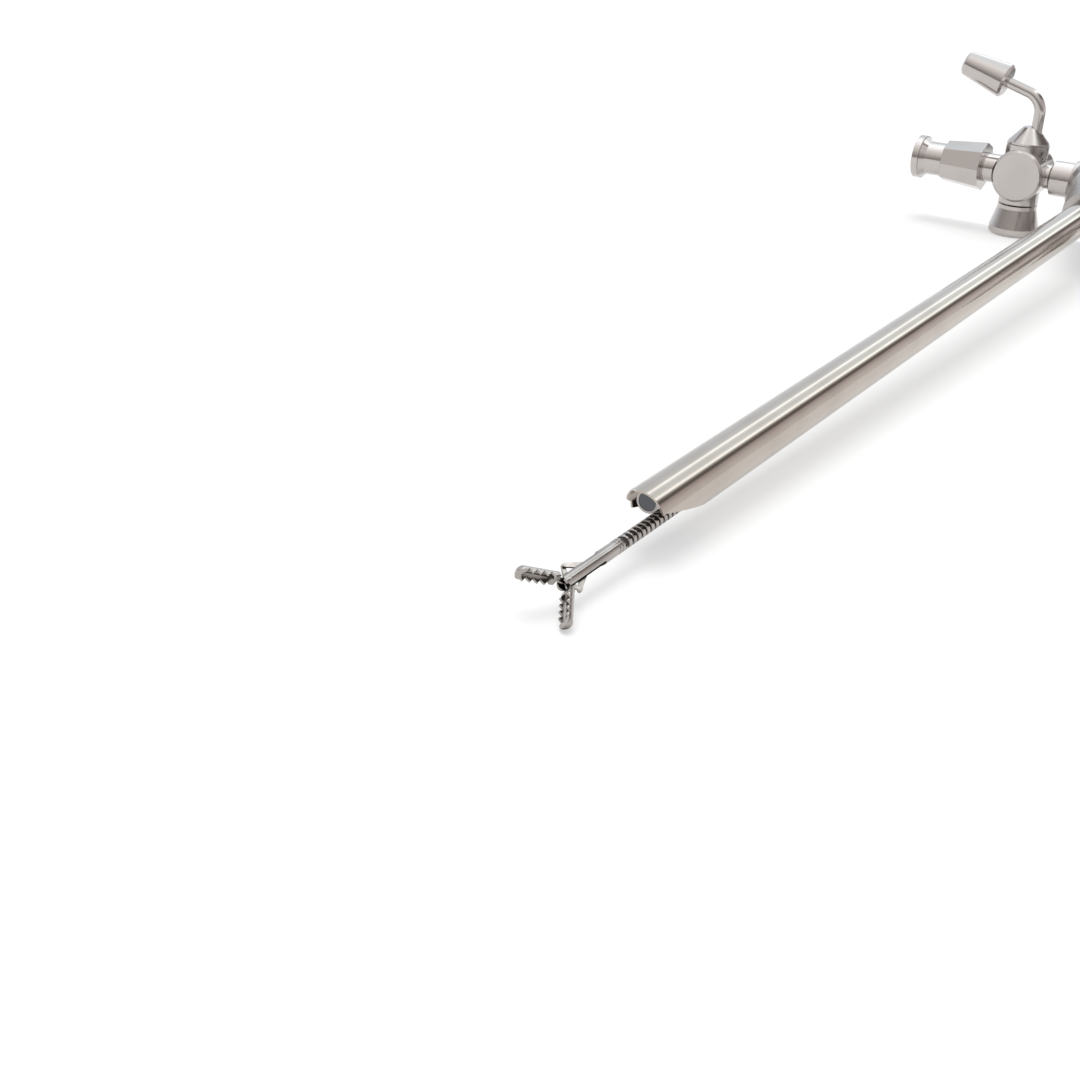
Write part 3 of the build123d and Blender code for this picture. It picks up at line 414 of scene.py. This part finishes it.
# Forceps coil: flat stainless steel wire wound open round a dark polymer liner, which lets the shaft
# follow the bend of the channel. Between the turns the liner shows as dark gaps. The coil joins the
# clevis to the shaft's sleeve.
channel_z = -0.00305
bend_start = 0.116
bend_radius = 0.06
bend_turn = math.radians(30.0)
coil_front = 0.2923
coil_rear_run = 0.056
coil_pitch = 0.00095
coil_radius = 0.00082
ribbon_thickness = 0.0002
ribbon_half = 0.00029
ribbon_round = 0.00007
liner_radius = 0.00063
liner_bore = 0.00045
turn_steps = 22
turn_join = 0.000005
liner_sides = 20
liner_cuts = 119
coil_sharp = 50.0
straight_run = coil_front - bend_start
bend_run = bend_radius * bend_turn
path_length = straight_run + bend_run + coil_rear_run
side = Vector((0, 1, 0))
coil_axis = Vector((1, 0, 0))


def closed_outline(shape, corners):
    """Points at a few (run, radius) corners, and the edges that join them in a ring."""
    dots = [shape.verts.new((run, radius, 0)) for run, radius in corners]
    return dots + [shape.edges.new((dots[i - 1], dots[i])) for i in range(len(dots))]


def into_channel(shape):
    """Lay a shape that was made round the X axis along the channel, front end first."""
    for corner in shape.verts:
        run = corner.co.x
        turned = min(max((run - straight_run) / bend_radius, 0.0), bend_turn)
        heading = Vector((-math.cos(turned), 0, -math.sin(turned)))
        centre = Vector(
            (
                coil_front - min(run, straight_run) - bend_radius * math.sin(turned),
                0,
                channel_z - bend_radius * (1 - math.cos(turned)),
            )
        )
        centre += heading * max(run - straight_run - bend_run, 0.0)
        corner.co = centre + side * corner.co.y + heading.cross(side) * corner.co.z


ribbon_inner = coil_radius - ribbon_thickness
ribbon_shoulder = coil_radius - ribbon_round
ribbon_corners = (
    (0.0, ribbon_inner),
    (0.0, ribbon_shoulder),
    (ribbon_round, coil_radius),
    (2 * ribbon_half - ribbon_round, coil_radius),
    (2 * ribbon_half, ribbon_shoulder),
    (2 * ribbon_half, ribbon_inner),
)
liner_corners = (
    (0.0, liner_bore),
    (0.0, liner_radius),
    (path_length, liner_radius),
    (path_length, liner_bore),
)
turn_count = int((path_length - 2 * ribbon_half) / coil_pitch)
coil_shape = bmesh.new()
bmesh.ops.spin(
    coil_shape,
    geom=closed_outline(coil_shape, ribbon_corners),
    cent=(0, 0, 0),
    axis=coil_axis,
    dvec=coil_axis * coil_pitch / turn_steps,
    angle=math.tau,
    steps=turn_steps,
)
bmesh.ops.spin(
    coil_shape,
    geom=list(coil_shape.verts) + list(coil_shape.edges) + list(coil_shape.faces),
    cent=(0, 0, 0),
    axis=coil_axis,
    dvec=coil_axis * coil_pitch,
    angle=0.0,
    steps=turn_count - 1,
    use_duplicate=True,
)
bmesh.ops.remove_doubles(coil_shape, verts=coil_shape.verts, dist=turn_join)
bmesh.ops.holes_fill(coil_shape, edges=coil_shape.edges, sides=0)
wire_faces = len(coil_shape.faces)
bmesh.ops.spin(
    coil_shape,
    geom=closed_outline(coil_shape, liner_corners),
    cent=(0, 0, 0),
    axis=coil_axis,
    angle=math.tau,
    steps=liner_sides,
    use_merge=True,
)
coil_shape.faces.ensure_lookup_table()
for face in coil_shape.faces[wire_faces:]:
    face.material_index = 1
lengthwise = [edge for edge in coil_shape.edges if edge.calc_length() > path_length / 2]
bmesh.ops.subdivide_edges(coil_shape, edges=lengthwise, cuts=liner_cuts, use_grid_fill=True)
into_channel(coil_shape)
bmesh.ops.recalc_face_normals(coil_shape, faces=coil_shape.faces)
wound_coil = place_mesh(coil_shape, "wound_coil", coil_sharp)


def plain(name, colour, darker, roughness, pattern, grains_per_metre, depth, **sockets):
    """A non-metal with a fine pattern of a second colour, which its making leaves in it."""
    made = bpy.data.materials.new(name)
    made.use_nodes = True
    tree = made.node_tree
    shader = tree.nodes["Principled BSDF"]
    place = add(tree, "ShaderNodeTexCoord")
    grain = add(tree, pattern, {"Vector": place.outputs["Object"], "Scale": grains_per_metre})
    level = add(
        tree, "ShaderNodeMapRange", {"Value": grain.outputs[0], "From Min": 0.25, "From Max": 0.75}
    )
    tint = blend(tree, level.outputs[0], linear(colour), linear(darker))
    relief = add(
        tree, "ShaderNodeBump", {"Height": grain.outputs[0], "Strength": 0.4, "Distance": depth}
    )
    tree.links.new(tint, shader.inputs["Base Color"])
    tree.links.new(relief.outputs[0], shader.inputs["Normal"])
    shader.inputs["Roughness"].default_value = roughness
    for socket, value in sockets.items():
        shader.inputs[socket.replace("_", " ")].default_value = value
    return made


# Flat wire is rolled bright, and painted shade darkens its edges where the turns and the liner hide
# them. The liner is extruded and matt.
wire_steel = metal(
    "stainless flat wire, rolled",
    colour="#b5afaa",
    worn="#5b5550",
    roughness=0.17,
    spread=0.06,
    marks_per_metre=(1500, 1500, 1500),
    depth=3e-6,
    edge_radius=0.00003,
    # painted shade: near black where the surface is occluded within 0.7 mm
    hollow_shade=("#241f1c", 0.0007),
)
liner = plain(
    "polymer liner, extruded",
    colour="#2b2826",
    darker="#332f2d",
    roughness=0.5,
    pattern="ShaderNodeTexNoise",
    grains_per_metre=3000.0,
    depth=2e-6,
)
wound_coil.data.materials.append(wire_steel)
wound_coil.data.materials.append(liner)
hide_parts("forceps_coil")
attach(wound_coil, "instrument")
dress("coil_steel", wire_steel)

# Optics: lenses and windows of optical glass, ground, polished and coated. They look dark and a
# little blue from the front, since the light they take in leaves at the other end.
ground_glass = plain(
    "optical glass, ground and coated",
    colour="#4b4d55",
    darker="#3f4149",
    roughness=0.05,
    pattern="ShaderNodeTexNoise",
    grains_per_metre=200.0,
    depth=1e-7,
    Coat_Weight=0.6,
    Coat_Roughness=0.03,
)
dress("optical_glass", ground_glass)

# Light fibres: glass fibres 0.03 mm thick, potted in resin and polished flush, so their ends read
# as a fine pale speckle. Each speckle covers about one fibre.
potted_fibres = plain(
    "glass fibres, potted and polished",
    colour="#a9a7a2",
    darker="#6e6c68",
    roughness=0.2,
    pattern="ShaderNodeTexVoronoi",
    grains_per_metre=26000.0,
    depth=1e-6,
)
dress("fibre_glass", potted_fibres)

# Eyepiece cup: moulded in black PEEK, with a fine spark-eroded grain of about 0.2 mm from the mould,
# which keeps it matt under a lamp.
moulded_black = plain(
    "black PEEK, moulded",
    colour="#161618",
    darker="#1f1f22",
    roughness=0.46,
    pattern="ShaderNodeTexNoise",
    grains_per_metre=5200.0,
    depth=2e-5,
    Specular_IOR_Level=0.3,
)
dress("eyepiece_black", moulded_black)

# Ocular barrel: turned aluminium, black anodised against stray light, a little glossier than the
# cup round it.
anodised = plain(
    "aluminium, black anodised",
    colour="#232326",
    darker="#2f2f33",
    roughness=0.33,
    pattern="ShaderNodeTexNoise",
    grains_per_metre=3000.0,
    depth=5e-6,
)
dress("anodised_black", anodised)

# Port seal: cast in silicone, soft and slightly dusty, so that its edges read pale. It is held
# under the port's cap.
cast_silicone = plain(
    "silicone, cast",
    colour="#4c5358",
    darker="#5c646a",
    roughness=0.6,
    pattern="ShaderNodeTexNoise",
    grains_per_metre=2400.0,
    depth=1e-5,
)
dress("seal_rubber", cast_silicone)
